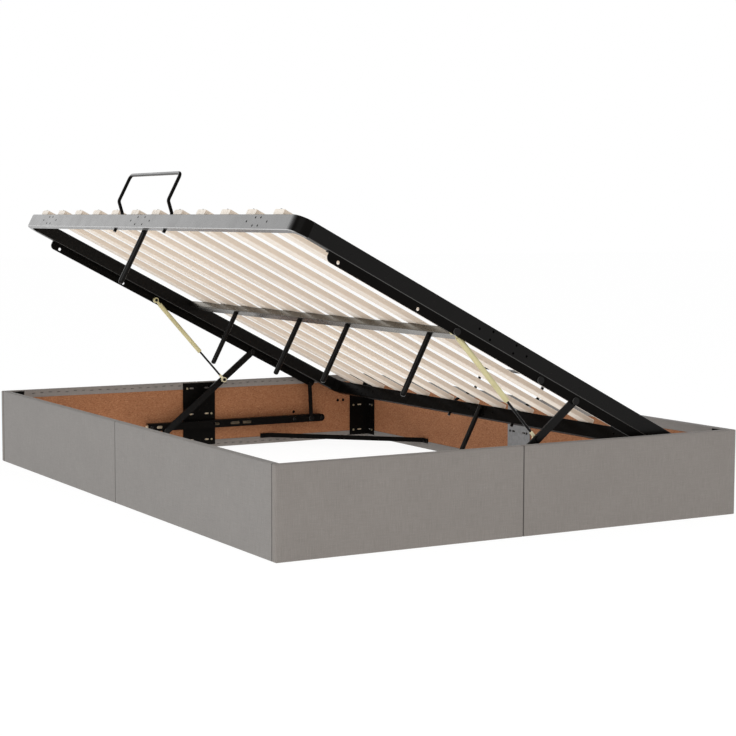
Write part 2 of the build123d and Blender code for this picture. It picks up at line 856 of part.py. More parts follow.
# Channel rail on each short side, with an ear for the front arm's pivot
with BuildPart() as base_rail:
    rail_length = rail_end_x - rail_start_x
    rail_depth = rail_back_layer - flange_inner_layer
    round_end = rail_height / 2
    with BuildSketch(base_layer(flange_inner_layer)) as web:
        with Locations(((rail_start_x + rail_end_x) / 2, rail_middle)):
            Rectangle(rail_length, rail_height)
        with Locations((rail_end_x, rail_middle)):
            Rectangle(2 * round_end, rail_height, mode=Mode.SUBTRACT)
        with Locations((rail_end_x - round_end, rail_middle)):
            Circle(round_end)
        with Locations(front_base):
            Circle(rail_ear_radius)
        with Locations((rail_slot_x - rail_slot_pitch, rail_middle), (rail_slot_x, rail_middle)):
            SlotOverall(rail_slot_length, rail_slot_height, mode=Mode.SUBTRACT)
        short_slots = (rail_start_x + rail_slot_start_inset, rear_base_x - rail_slot_short_setback)
        with Locations(*[(slot_x, rail_middle) for slot_x in short_slots]):
            SlotOverall(rail_slot_short_length, rail_slot_height, mode=Mode.SUBTRACT)
        with Locations(*[(bolt_x, rail_middle) for bolt_x in rail_bolt_xs]):
            Circle(rail_bolt_radius + screw_clearance, mode=Mode.SUBTRACT)
        with Locations(front_base, rear_base):
            Circle(pivot_radius + bolt_clearance, mode=Mode.SUBTRACT)
    extrude(amount=rail_metal)
    flange_end_x = rail_end_x - round_end
    flange_runs = (
        (front_base_x + rail_ear_radius, rail_bottom),
        (rail_start_x, rail_bottom + rail_height - rail_metal),
    )
    for run_start_x, run_z in flange_runs:
        with BuildSketch(base_layer(flange_inner_layer)):
            with Locations(((run_start_x + flange_end_x) / 2, run_z + rail_metal / 2)):
                Rectangle(flange_end_x - run_start_x, rail_metal)
        extrude(amount=rail_depth)
keep_pair(base_rail, "base_rail")

# Bolts on the base: the arms' lower pivots and the rails' fixings
rail_web_layer = flange_inner_layer + rail_metal
with BuildPart() as foot_base_bolts:
    for pivot in (front_base, rear_base):
        head_layer = arm_inner_layer - side_clearance
        disc(base_layer(head_layer), pivot, pivot_head_radius, -pivot_head_height)
        disc(base_layer(head_layer), pivot, pivot_radius, rail_web_layer - head_layer)
        disc(base_layer(rail_web_layer), pivot, pivot_nut_radius, pivot_nut_height)
    for bolt_x in rail_bolt_xs:
        fixing = (bolt_x, rail_middle)
        rail_face = base_layer(flange_inner_layer)
        disc(rail_face, fixing, rail_bolt_head_radius, -rail_bolt_head_height)
        reach = inner_half_length + rail_bolt_grip - flange_inner_layer
        disc(rail_face, fixing, rail_bolt_radius, reach)
with BuildPart() as base_bolts:
    add(foot_base_bolts.part)
    mirror(foot_base_bolts.part, about=Plane.XZ)
keep(base_bolts, "base_bolts")

# Bolts on the platform: the arms' upper pivots, the struts' upper pins and a spare
with BuildPart() as foot_platform_bolts:
    outside = platform_layer(flange_outer_layer)
    front_at = (front_top_u, -front_top_drop)
    rear_at = (rear_top_u, -rear_top_drop)
    strut_at = (strut_top_u, -strut_top_drop)
    spare_at = (spare_bolt_u, -open_hole_drop)
    nut_layer = arm_inner_layer - side_clearance
    disc(outside, front_at, pivot_head_radius, pivot_head_height)
    disc(outside, front_at, pivot_radius, nut_layer - flange_outer_layer)
    disc(platform_layer(nut_layer), front_at, pivot_nut_radius, -pivot_nut_height)
    disc(outside, rear_at, pivot_nut_radius, pivot_head_height)
    disc(outside, rear_at, pivot_radius, -flange_thickness)
    disc(outside, strut_at, pivot_head_radius, pivot_head_height)
    disc(outside, strut_at, strut_pin_radius, -flange_thickness)
    collar_layer = eye_outer_layer + side_clearance
    disc(
        platform_layer(flange_inner_layer),
        strut_at,
        strut_boss_radius,
        collar_layer - flange_inner_layer,
    )
    cap_layer = eye_inner_layer - side_clearance
    disc(platform_layer(collar_layer), strut_at, strut_pin_radius, cap_layer - collar_layer)
    disc(platform_layer(cap_layer), strut_at, strut_cap_radius, -strut_cap_height)
    disc(outside, spare_at, pivot_head_radius, pivot_head_height)
    disc(outside, spare_at, strut_pin_radius, -flange_thickness)
with BuildPart() as platform_bolts:
    add(foot_platform_bolts.part)
    mirror(foot_platform_bolts.part, about=Plane.XZ)
keep(platform_bolts, "platform_bolts")

# Gas struts: a closed tube on the platform and a rod that slides out of it to the arm,
# whose eye has its pin pressed in
strut_heading = heading(strut_up, strut_foot)
strut_dir = (cos(strut_heading), 0, sin(strut_heading))


def strut_plane(along):
    """Plane square to the strut, at a distance from its upper pin."""
    origin = (strut_up[0], -strut_layer, strut_up[1])
    return Plane(origin=origin, x_dir=(0, 1, 0), z_dir=strut_dir).offset(along)


def strut_round(start, end, radius, mode=Mode.ADD):
    """Round length of the strut between two distances from its upper pin."""
    with BuildSketch(strut_plane(start)) as round_face:
        Circle(radius)
    extrude(round_face.sketch, amount=end - start, mode=mode)


def strut_eye(place):
    """Flat eye about a pin."""
    disc(base_layer(eye_inner_layer), place, strut_eye_radius, strut_eye_thickness)


gland_start = strut_tube_length - strut_gland_length
with BuildPart() as strut_tube:
    strut_round(0, strut_neck_length, strut_neck_radius)
    strut_round(strut_neck_length, strut_tube_length, strut_tube_radius)
    rims = strut_tube.edges().filter_by(GeomType.CIRCLE).sort_by(SortBy.RADIUS)[-2:]
    fillet(rims, radius=strut_edge_round)
    bore_start = strut_neck_length + strut_plug_length
    strut_round(bore_start, gland_start, strut_bore_radius, Mode.SUBTRACT)
    gland_radius = strut_rod_radius + pivot_clearance
    strut_round(gland_start, strut_tube_length, gland_radius, Mode.SUBTRACT)
    strut_eye(strut_up)
    with BuildSketch(base_layer(eye_inner_layer - overrun)):
        with Locations(strut_up):
            Circle(strut_pin_radius + pivot_clearance)
    extrude(amount=strut_eye_thickness + 2 * overrun, mode=Mode.SUBTRACT)
keep_pair(strut_tube, "strut_tube")

piston_radius = strut_bore_radius - strut_piston_clearance
piston_end = gland_start - strut_inner_reach + strut_piston_length
with BuildPart() as strut_rod:
    strut_round(strut_rest - strut_fitting_length, strut_rest, strut_fitting_radius)
    strut_round(piston_end, strut_rest - strut_fitting_length, strut_rod_radius)
    strut_round(piston_end - strut_piston_length, piston_end, piston_radius)
    strut_eye(strut_foot)
    disc(base_layer(eye_inner_layer), strut_foot, strut_cap_radius, -strut_cap_height)
keep_pair(strut_rod, "strut_rod")

# What the linkage comes to, for checking
report = {
    "front_base": front_base,
    "front_top": front_up,
    "rear_base": rear_base,
    "rear_top": rear_up,
    "rear_top_u": (rear_top_u,),
    "strut_top": strut_up,
    "strut_foot": strut_foot,
    "strut_lengths": (strut_rest, strut_rest - strut_stroke),
    "front_arm_turn": (
        degrees(heading(front_base, front_up)),
        degrees(heading(front_base, front_down)),
    ),
    "rear_arm_turn": (
        degrees(heading(rear_base, rear_up)),
        degrees(heading(rear_base, rear_down)),
    ),
    "strut_turn": (
        degrees(strut_heading),
        degrees(heading(strut_down, strut_foot_down)),
    ),
}
for title, numbers in report.items():
    print(title, *[f"{number:.6f}" for number in numbers])
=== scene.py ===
"""Looks of a side-lift storage bed: cloth covers, staples, finishes and the studio."""

import random
from math import atan2, cos, pi, radians, sin

import bmesh
import bpy
from bpy.props import FloatProperty, FloatVectorProperty, IntProperty, PointerProperty
from mathutils import Euler, Matrix, Vector


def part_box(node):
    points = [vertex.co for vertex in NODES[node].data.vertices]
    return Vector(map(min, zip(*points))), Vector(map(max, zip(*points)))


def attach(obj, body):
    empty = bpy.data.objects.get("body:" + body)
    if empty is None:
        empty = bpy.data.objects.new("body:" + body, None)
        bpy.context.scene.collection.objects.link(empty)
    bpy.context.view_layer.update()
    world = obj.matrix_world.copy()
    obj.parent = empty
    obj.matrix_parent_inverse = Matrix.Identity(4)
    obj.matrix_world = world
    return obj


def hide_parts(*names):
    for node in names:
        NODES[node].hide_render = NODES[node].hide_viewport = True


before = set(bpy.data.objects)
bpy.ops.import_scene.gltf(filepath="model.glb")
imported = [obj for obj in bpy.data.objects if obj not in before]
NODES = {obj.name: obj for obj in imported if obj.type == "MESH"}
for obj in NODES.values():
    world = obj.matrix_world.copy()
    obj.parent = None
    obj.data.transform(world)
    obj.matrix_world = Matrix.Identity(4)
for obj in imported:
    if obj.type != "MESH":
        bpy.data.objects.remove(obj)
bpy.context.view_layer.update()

bl_info = {
    "name": "Side-lift storage bed",
    "version": (1, 0, 0),
    "blender": (4, 5, 0),
    "location": "View3D > Sidebar > Storage bed",
    "description": "Dresses the packed storage bed and sets up its studio",
    "category": "Object",
}

MM = 0.001

# The base's sides, as the frame names them
SHORT_SIDES = ("foot", "head")
LONG_SIDES = ("lift", "hinge")
STAPLED_SIDES = ("foot", "head", "lift")

WHITE = (1, 1, 1)
BLACK = (0, 0, 0)


def halves(side):
    """Names of a side's two halves, each after the side that it ends at."""
    return LONG_SIDES if side in SHORT_SIDES else SHORT_SIDES


def platform_tilt():
    """Angle of the raised platform, read from the broadest face of a slat."""
    broad = max(NODES["slat_06"].data.polygons, key=lambda face: face.area)
    return abs(atan2(broad.normal.x, abs(broad.normal.z)))


def platform_axes():
    """The platform's axes: along its slats, along the bed and square to both."""
    tilt = platform_tilt()
    return (
        Vector((cos(tilt), 0, -sin(tilt))),
        Vector((0, 1, 0)),
        Vector((sin(tilt), 0, cos(tilt))),
    )


# Node helpers

# Sockets of a Mix node: its factor and two colours, and the mixed colour
MIX_INPUTS = (0, 6, 7)
MIX_OUTPUT = 2

# Range that holds nearly all values of a noise
NOISE_LOW, NOISE_HIGH = 0.2, 0.8

# Length in metres after which a wave of scale 1 repeats
WAVE_PERIOD = pi / 10


def new_material(name):
    """An empty material with a Principled surface, as (material, tree, surface)."""
    material = bpy.data.materials.new(name)
    material.use_nodes = True
    tree = material.node_tree
    tree.nodes.clear()
    output = tree.nodes.new("ShaderNodeOutputMaterial")
    surface = tree.nodes.new("ShaderNodeBsdfPrincipled")
    tree.links.new(surface.outputs["BSDF"], output.inputs["Surface"])
    return material, tree, surface


def node_of(tree, kind):
    """The one node of a kind in a tree."""
    return next(node for node in tree.nodes if node.type == kind)


def fill(tree, node, inputs):
    """Give a node's inputs values, opaque colours or links from sockets."""
    for key, value in inputs.items():
        socket = node.inputs[key]
        if isinstance(value, bpy.types.NodeSocket):
            tree.links.new(value, socket)
        else:
            socket.default_value = (*value, 1) if socket.type == "RGBA" else value


def add_node(tree, kind, inputs=None, **settings):
    """A node of a kind, with its settings and with inputs that are values or sockets."""
    node = tree.nodes.new(kind)
    for key, value in settings.items():
        setattr(node, key, value)
    fill(tree, node, inputs or {})
    return node


def place(tree, source="Object", scale=(1, 1, 1), turn=(0, 0, 0), shift=(0, 0, 0)):
    """Coordinates of a surface point, turned, shifted and scaled."""
    coordinates = add_node(tree, "ShaderNodeTexCoord").outputs[source]
    inputs = {"Vector": coordinates, "Rotation": turn, "Location": shift}
    turned = add_node(tree, "ShaderNodeMapping", inputs).outputs["Vector"]
    return add_node(
        tree, "ShaderNodeMapping", {"Vector": turned, "Scale": scale}
    ).outputs["Vector"]


def noise(tree, vector, scale, detail=3, roughness=0.55, distortion=0):
    """A noise value from 0 to 1."""
    inputs = {
        "Vector": vector,
        "Scale": scale,
        "Detail": detail,
        "Roughness": roughness,
        "Distortion": distortion,
    }
    return add_node(tree, "ShaderNodeTexNoise", inputs).outputs["Fac"]


def bands(tree, vector, period, axis, distortion, detail=2):
    """Bands across an axis that repeat at a period, as a value from 0 to 1."""
    inputs = {
        "Vector": vector,
        "Scale": WAVE_PERIOD / period,
        "Distortion": distortion,
        "Detail": detail,
    }
    return add_node(tree, "ShaderNodeTexWave", inputs, bands_direction=axis).outputs["Fac"]


def cells(tree, vector, size):
    """A random value for each cell of a size."""
    inputs = {"Vector": vector, "Scale": 1 / size}
    return add_node(tree, "ShaderNodeTexVoronoi", inputs).outputs["Color"]


def calculate(tree, operation, *values):
    """One Math node over values or sockets."""
    return add_node(
        tree, "ShaderNodeMath", dict(enumerate(values)), operation=operation
    ).outputs[0]


def product(tree, first, *others):
    """Values multiplied together, which for masks is 1 where all are 1."""
    for other in others:
        first = calculate(tree, "MULTIPLY", first, other)
    return first


def largest(tree, first, *others):
    """The largest value, which for masks is 1 where any is 1."""
    for other in others:
        first = calculate(tree, "MAXIMUM", first, other)
    return first


def weigh(tree, first, second, share):
    """A share of the first value and the rest of the second, added."""
    rest = product(tree, second, 1 - share)
    return calculate(tree, "ADD", product(tree, first, share), rest)


def above(tree, value, limit):
    """1 where a value is greater than a limit."""
    return calculate(tree, "GREATER_THAN", value, limit)


def below(tree, value, limit):
    """1 where a value is less than a limit."""
    return calculate(tree, "LESS_THAN", value, limit)


def apart(tree, value, centre):
    """How far a value lies from a centre."""
    return calculate(tree, "ABSOLUTE", calculate(tree, "SUBTRACT", value, centre))


def split(tree, vector):
    """X, Y and Z of a vector, by their names."""
    return add_node(tree, "ShaderNodeSeparateXYZ", {0: vector}).outputs


def from_middle(tree, axis):
    """How far a surface point lies from the middle of the bed along X or Y."""
    return calculate(tree, "ABSOLUTE", split(tree, place(tree))[axis])


def project(tree, vector, axis):
    """The length of a vector along an axis."""
    return add_node(
        tree, "ShaderNodeVectorMath", {0: vector, 1: axis}, operation="DOT_PRODUCT"
    ).outputs["Value"]


def facing(tree, direction):
    """How squarely a surface faces a direction, from -1 to 1."""
    return project(tree, add_node(tree, "ShaderNodeTexCoord").outputs["Normal"], direction)


def facing_ends(tree):
    """How squarely a surface faces the foot or the head of the bed, from 0 to 1."""
    return calculate(tree, "ABSOLUTE", facing(tree, platform_axes()[1]))


def on_hinge_side(tree, from_x, half_length):
    """1 beyond from_x, up to half_length from the middle of the bed's length."""
    beyond = above(tree, split(tree, place(tree))["X"], from_x)
    return product(tree, beyond, below(tree, from_middle(tree, "Y"), half_length))


def spread(tree, value, low, high, to_low=0, to_high=1):
    """value mapped from low..high to to_low..to_high, with smooth ends."""
    inputs = {
        "Value": value,
        "From Min": low,
        "From Max": high,
        "To Min": to_low,
        "To Max": to_high,
    }
    return add_node(
        tree, "ShaderNodeMapRange", inputs, interpolation_type="SMOOTHSTEP"
    ).outputs["Result"]


def mix_colour(tree, factor, first, second, blend="MIX"):
    """Two colours or sockets mixed by a factor."""
    return add_node(
        tree,
        "ShaderNodeMix",
        dict(zip(MIX_INPUTS, (factor, first, second))),
        data_type="RGBA",
        blend_type=blend,
    ).outputs[MIX_OUTPUT]


def scaled(colour, factor):
    """A colour made darker or lighter, up to full."""
    return [min(1, factor * level) for level in colour]


def shade(tree, colour, value, strength):
    """colour made darker and lighter by strength as a noise goes from low to high."""
    level = spread(tree, value, NOISE_LOW, NOISE_HIGH, 1 - strength, 1 + strength)
    grey = add_node(tree, "ShaderNodeCombineColor", {0: level, 1: level, 2: level})
    return mix_colour(tree, 1, colour, grey.outputs[0], "MULTIPLY")


def recolour(material, factor, colour):
    """Lay a colour over a finished material's own, by a factor."""
    tree = material.node_tree
    base = node_of(tree, "BSDF_PRINCIPLED").inputs["Base Color"]
    tree.links.new(mix_colour(tree, factor, base.links[0].from_socket, colour), base)


def bump(tree, surface, height, distance, strength=1):
    """Raise a surface by a height value, over a distance in metres."""
    inputs = {"Height": height, "Distance": distance, "Strength": strength}
    raised = add_node(tree, "ShaderNodeBump", inputs).outputs["Normal"]
    tree.links.new(raised, surface.inputs["Normal"])


def finish_nodes(material, *names):
    """Give CAD nodes a finish."""
    for name in names:
        slots = NODES[name].data.materials
        slots.clear()
        slots.append(material)


def nodes_named(*starts):
    """Names of the CAD nodes that begin with any of the given words."""
    return [name for name in sorted(NODES) if name.startswith(starts)]


# Sizes and colours a user may change


def colour_property(name, description, default):
    """A colour with red, green and blue in linear light."""
    return FloatVectorProperty(
        name=name,
        description=description,
        default=default,
        size=3,
        min=0,
        max=1,
        subtype="COLOR",
    )


def length_property(name, description, default):
    """A length in metres."""
    return FloatProperty(
        name=name, description=description, default=default, min=0, unit="LENGTH"
    )


def share_property(name, description, default):
    """A share or a level from 0 to 1."""
    return FloatProperty(name=name, description=description, default=default, min=0, max=1)


def light_property(name, description, default):
    """A strength of light."""
    return FloatProperty(name=name, description=description, default=default, min=0)


def angle_property(name, description, degrees):
    """An angle, whose default is given in degrees."""
    return FloatProperty(
        name=name,
        description=description,
        default=radians(degrees),
        subtype="ANGLE",
        unit="ROTATION",
    )


class ClothSettings(bpy.types.PropertyGroup):
    """The cloth on the base's sides"""

    long_colour: colour_property(
        "Long side colour", "Cloth on the two long sides", (0.262, 0.247, 0.234)
    )
    short_colour: colour_property(
        "Short side colour", "Cloth on the two short sides", (0.254, 0.231, 0.212)
    )
    thickness: length_property("Thickness", "Thickness of the cloth", 1 * MM)
    edge_round: length_property("Edge radius", "Radius of the padded edges of a side", 3 * MM)
    edge_steps: IntProperty(
        name="Edge steps", description="Segments in a padded edge", default=4, min=1, max=8
    )
    return_top: length_property("Top border", "Width of the cloth turned in at the top", 25 * MM)
    return_bottom: length_property(
        "Bottom border", "Width of the cloth turned in at the bottom", 27 * MM
    )
    return_end: length_property("End border", "Width of the cloth turned in at the ends", 25 * MM)
    thread: length_property("Thread", "Distance between threads", 0.9 * MM)
    # Painted shade in the closed seams between the covers: its half width and how dark it is
    seam_half: length_property("Seam", "Half the width of the dark line at a seam", 3 * MM)
    seam_shade: share_property(
        "Seam shade", "How dark the closed seams between the covers are", 0.85
    )


class StapleSettings(bpy.types.PropertyGroup):
    """The staples that hold the cloth's borders"""

    pitch: length_property("Pitch", "Distance between staples", 30 * MM)
    width: length_property("Width", "Width of a staple's back", 11 * MM)
    wire: length_property("Wire", "Thickness of the wire", 1.4 * MM)
    inset: length_property("Inset", "Distance from the folded edge", 11 * MM)
    plate_room: length_property(
        "Plate room", "Length left bare to either side of a seam", 64 * MM
    )
    corner_room: length_property(
        "Corner room", "Length left bare from the face in a corner", 82 * MM
    )
    colour: colour_property("Colour", "Dark wire", (0.05, 0.045, 0.04))
    wobble: angle_property("Wobble", "Largest turn of a staple out of line", 7)
    drift: share_property(
        "Drift", "Largest shift of a staple up or down, as a share of the inset", 0.15
    )


class BoardSettings(bpy.types.PropertyGroup):
    """The chipboard inside the base's sides"""

    colour: colour_property("Colour", "Middle colour of the board", (0.355, 0.152, 0.07))
    dark: colour_property("Dark flakes", "Colour of the darkest flakes", (0.19, 0.076, 0.034))
    pale: colour_property("Pale flakes", "Colour of the palest flakes", (0.49, 0.245, 0.125))
    # Painted light: a pale colour on the board seen through the slots of plates, brackets and
    # rails
    bare: colour_property(
        "Bare board", "Board seen through the slots of plates and rails", (0.85, 0.7, 0.5)
    )
    flake: length_property("Flake", "Size of a flake", 2.6 * MM)
    plate_half: length_property("Plate", "Half the width of a seam plate", 60 * MM)
    bracket_leg: length_property("Bracket", "Reach of a bracket's shorter leg", 48 * MM)
    rail_middle: length_property("Rail", "Height of the rails' slots", 85 * MM)
    slot_half: length_property("Rail slot", "Half the height of a rail's slot", 6 * MM)
    # Painted shade in the bored holes and on the board behind the hinge side's plate
    hole: colour_property("Holes", "Inside of the bored holes", (0.012, 0.006, 0.004))
    hole_depth: length_property("Hole edge", "Depth at which a hole turns dark", 1.2 * MM)


class SteelSettings(bpy.types.PropertyGroup):
    """Painted and plated steel"""

    paint: colour_property("Paint", "Black powder coat", (0.0045, 0.004, 0.0036))
    roughness: share_property("Roughness", "Roughness of the coat", 0.26)
    bar_gloss: share_property(
        "Lifting bar gloss",
        "Specular level of the lifting side's bar on its flat outer faces",
        0.75,
    )
    middle_gloss: share_property(
        "Middle bar gloss", "Specular level of the bar along the middle", 1
    )
    middle_tint: colour_property("Middle bar tint", "Colour of that bar's gloss", (1, 0.87, 0.66))
    side_gloss: share_property(
        "Side bar gloss", "Specular level of the side bars, legs and arms", 0.12
    )
    gloss: share_property("Gloss", "Specular level of the other painted steel", 0.025)
    hinge_gloss: share_property("Hinge bar gloss", "Specular level of the hinge side's bar", 0.01)
    hoop_gloss: share_property(
        "Mattress stop gloss", "Specular level of the bent rods along the bed", 0.9
    )
    # Painted highlights on the side bars' rounded lower edges and round the bolts' heads
    edge: colour_property(
        "Lit edges", "Paint on the side bars' rounded lower edges", (0.085, 0.083, 0.08)
    )
    # Painted reflection of the floor on the lifting bar's lower face, and a painted highlight on
    # its rounded lower edge
    lit_face: colour_property(
        "Lit bar face", "Paint on the lifting bar's lower face", (0.12, 0.12, 0.12)
    )
    lit_edge: colour_property(
        "Lit bar edge", "Paint on the lifting bar's rounded lower edge", (0.5, 0.5, 0.5)
    )
    # Depth at which the painted shade in a bar's holes starts
    skin: length_property("Skin", "Depth at which a drilled hole turns dark", 0.3 * MM)
    bar_round: length_property("Bar rounding", "Room kept clear for a bar's rounding", 3.5 * MM)
    bar_depth: length_property("Bar depth", "Width of the outer bars across the bed", 20 * MM)
    middle_depth: length_property("Middle bar", "Width of the bar along the middle", 40 * MM)
    bend: length_property("Bend", "Length of the lifting bar's bent ends", 60 * MM)
    # Zinc grey: real plating on the slat screws, and a painted reflection on the hinge side's seam
    # plate
    zinc: colour_property("Zinc", "Plated plate on the hinge side", (0.27, 0.275, 0.28))
    # Reach of the painted reflection on the hinge side's seam plate
    zinc_half: length_property("Zinc plate", "Half the length that the zinc covers", 100 * MM)
    zinc_depth: length_property(
        "Zinc depth", "Room from the plate's outer face that the zinc covers", 10 * MM
    )
    yellow_zinc: colour_property("Yellow zinc", "Plated screws of the base", (0.3, 0.26, 0.17))


class SlatSettings(bpy.types.PropertyGroup):
    """The laminated slats"""

    pale: colour_property("Pale grain", "Lightest colour of the veneer", (0.955, 0.88, 0.785))
    deep: colour_property("Deep grain", "Darkest colour of the veneer", (0.84, 0.74, 0.63))
    edge: colour_property("Edge", "Colour of the slats' sawn edges", (0.86, 0.725, 0.59))
    ply: length_property("Ply", "Thickness of one veneer", 2.3 * MM)


class StrutSettings(bpy.types.PropertyGroup):
    """The gas struts"""

    tube: colour_property("Tube", "Pale paint of tube and eyes", (0.64, 0.58, 0.315))
    fitting: colour_property("Fitting", "Pale paint of the rod's eye", (0.84, 0.77, 0.52))
    rod: colour_property("Rod", "Blackened rod", (0.004, 0.004, 0.004))
    fitting_reach: length_property(
        "Fitting", "How far the painted end reaches from its pin", 25 * MM
    )
    eye: length_property("Eye", "Radius of the rod's eye", 9 * MM)
    pin: length_property("Pin", "Radius of the black pin and its cap", 5.8 * MM)


class StudioSettings(bpy.types.PropertyGroup):
    """Floor, lights and camera"""

    floor_size: length_property("Floor", "Width of the floor", 60)
    floor_white: share_property(
        "Floor white", "Share of plain white in the floor that the camera sees", 0.8
    )
    floor_level: light_property("Floor level", "Strength of that plain white", 1.13)
    floor_glow: light_property(
        "Floor glow", "Light that the floor adds to the object from below", 0.6
    )
    sky: light_property("Sky", "Strength of the even light", 0.5)
    key: light_property("Key light", "Power of the soft key light", 105)
    gloss_panel: light_property("Gloss panel", "Power of the panel that only gloss reflects", 73)
    lens: FloatProperty(
        name="Lens", description="Focal length in millimetres", default=85.41, min=1
    )
    azimuth: angle_property("Azimuth", "Turn of the view from straight along the bed", 30.15)
    drop: angle_property("Drop", "Angle by which the camera looks down", 4.9)
    roll: angle_property("Roll", "Turn of the camera about its view", -0.17)
    eye: FloatVectorProperty(
        name="Eye",
        description="Place of the camera",
        default=(-2.5968, -4.6812, 0.8218),
        size=3,
        unit="LENGTH",
    )


# Cloth

# Stretched noises for the slubs along each way of the weave, in steps per metre
WARP_SLUBS = (520, 26, 1)
WEFT_SLUBS = (22, 480, 1)

# Shifts that keep the weft's slubs and the mottling apart from the other noises
WEFT_SHIFT = (3, 7, 0)
MOTTLE_SHIFT = (1.7, 0.3, 0)

# Lightness of the pale nubs, and of the painted shade in the seams, as parts of the cloth's own
# colour
NUB_LIGHTNESS = 1.35
NUB_STRENGTH = 0.5
SEAM_SHADE_LIGHTNESS = 0.1

# Height of a slub as a part of a thread's
SLUB_RELIEF = 0.8

# A face whose normal reaches this far along an axis faces that way
SQUARELY = 0.9

SHARP_ANGLE = radians(40)


def seam_shade_mask(tree, half_width):
    """1 in the closed seams, where shade is painted: halfway along each side, and at the ends of
    the long sides.
    """
    low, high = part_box("board_lift_foot")
    corner_y = max(abs(low.y), abs(high.y)) + MM
    outer_x = (abs(low.x) + abs(high.x)) / 2
    from_x, from_y = from_middle(tree, "X"), from_middle(tree, "Y")
    from_seam = calculate(tree, "MINIMUM", from_x, from_y)
    halfway = spread(tree, from_seam, 0, half_width, to_low=1, to_high=0)
    from_corner = apart(tree, from_y, corner_y)
    at_corner = spread(tree, from_corner, 0, half_width, to_low=1, to_high=0)
    return largest(tree, product(tree, at_corner, above(tree, from_x, outer_x)), halfway)


def cloth_material(name, colour, settings):
    """Woven cloth on a UV map in metres: threads, slubs and soft mottling, and painted shade in
    the seams.
    """
    material, tree, surface = new_material(name)
    flat = place(tree, "UV")
    warp_slubs = noise(tree, place(tree, "UV", WARP_SLUBS), scale=1, roughness=0.6)
    weft_slubs = noise(
        tree, place(tree, "UV", WEFT_SLUBS, shift=WEFT_SHIFT), scale=1, roughness=0.6
    )
    mottle = noise(tree, place(tree, "UV", shift=MOTTLE_SHIFT), scale=9, detail=4, roughness=0.6)
    specks = noise(tree, flat, scale=330, detail=1, roughness=0.4)
    nubs = product(tree, spread(tree, specks, low=0.66, high=0.76), NUB_STRENGTH)
    warp, weft = (
        bands(tree, flat, settings.thread, axis, distortion=0.6, detail=1) for axis in "XY"
    )
    weave = largest(tree, warp, weft)
    toned = colour
    for pattern, strength in ((warp_slubs, 0.085), (weft_slubs, 0.055), (mottle, 0.03)):
        toned = shade(tree, toned, pattern, strength)
    toned = mix_colour(tree, nubs, toned, scaled(colour, NUB_LIGHTNESS))
    toned = shade(tree, toned, weave, strength=0.05)
    # Painted shade in the closed seams between the covers
    seams = product(tree, seam_shade_mask(tree, settings.seam_half), settings.seam_shade)
    toned = mix_colour(tree, seams, toned, scaled(colour, SEAM_SHADE_LIGHTNESS))
    fill(
        tree,
        surface,
        {
            "Base Color": toned,
            "Roughness": 0.92,
            "Specular IOR Level": 0.15,
            "Sheen Weight": 0.12,
            "Sheen Roughness": 0.6,
        },
    )
    relief = calculate(tree, "ADD", weave, product(tree, warp_slubs, SLUB_RELIEF))
    bump(tree, surface, relief, distance=0.25 * MM, strength=0.5)
    return material


def lay_threads(bm):
    """A UV map in metres, flat on each face, with v up the side or across its edge."""
    layer = bm.loops.layers.uv.new("Cloth")
    for face in bm.faces:
        lean = max(range(3), key=lambda axis: abs(face.normal[axis]))
        across, up = [axis for axis in range(3) if axis != lean]
        for loop in face.loops:
            loop[layer].uv = loop.vert.co[across], loop.vert.co[up]


def long_axis(low, high):
    """0 where a box is longest along x, or 1 along y."""
    return 0 if high.x - low.x > high.y - low.y else 1


def inward_sign(low, high, across):
    """Which way from a side's box the middle of the bed lies along the across axis."""
    return -1 if low[across] + high[across] > 0 else 1


def padded_box(low, high, settings):
    """A box with rounded edges, as a bmesh."""
    bm = bmesh.new()
    bmesh.ops.create_cube(bm, size=1)
    bmesh.ops.scale(bm, vec=high - low, verts=bm.verts)
    bmesh.ops.translate(bm, vec=(low + high) / 2, verts=bm.verts)
    bmesh.ops.bevel(
        bm,
        geom=bm.edges[:],
        offset=settings.edge_round,
        offset_type="OFFSET",
        segments=settings.edge_steps,
        profile=0.5,
        affect="EDGES",
        material=-1,
    )
    return bm


def open_inside(bm, low, high, along, inward, settings):
    """Cut the board's window out of a cover's inner face, inside the borders."""
    across = 1 - along
    low, high = low.copy(), high.copy()
    low[along] += settings.return_end
    high[along] -= settings.return_end
    low.z += settings.return_bottom
    high.z -= settings.return_top
    for axis in (along, 2):
        for corner in (low, high):
            normal = Vector((0, 0, 0))
            normal[axis] = 1
            bmesh.ops.bisect_plane(
                bm,
                geom=bm.verts[:] + bm.edges[:] + bm.faces[:],
                dist=0.1 * settings.thickness,
                plane_co=corner,
                plane_no=normal,
            )
    bm.normal_update()
    opening = [
        face
        for face in bm.faces
        if face.normal[across] * inward > SQUARELY
        and low[along] < face.calc_center_median()[along] < high[along]
        and low.z < face.calc_center_median().z < high.z
    ]
    bmesh.ops.delete(bm, geom=opening, context="FACES")
    bm.normal_update()


def cloth_cover(name, node, material, settings):
    """Cloth round one half of a side: rounded edges, and a border round the board."""
    low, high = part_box(node)
    along = long_axis(low, high)
    across = 1 - along
    bm = padded_box(low, high, settings)
    open_inside(bm, low, high, along, inward_sign(low, high, across), settings)
    lay_threads(bm)
    cover = mesh_piece(name, bm, material)
    thickness = cover.modifiers.new("Cloth thickness", "SOLIDIFY")
    thickness.thickness = settings.thickness
    thickness.offset = -1
    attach(cover, "base")
    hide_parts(node)
    return cover


def mesh_piece(name, bm, material, smooth=True):
    """A finished object from a bmesh, which is freed."""
    mesh = bpy.data.meshes.new(name)
    bm.to_mesh(mesh)
    bm.free()
    piece = bpy.data.objects.new(name, mesh)
    bpy.context.scene.collection.objects.link(piece)
    mesh.materials.append(material)
    if smooth:
        for face in mesh.polygons:
            face.use_smooth = True
        mesh.set_sharp_from_angle(angle=SHARP_ANGLE)
    return piece


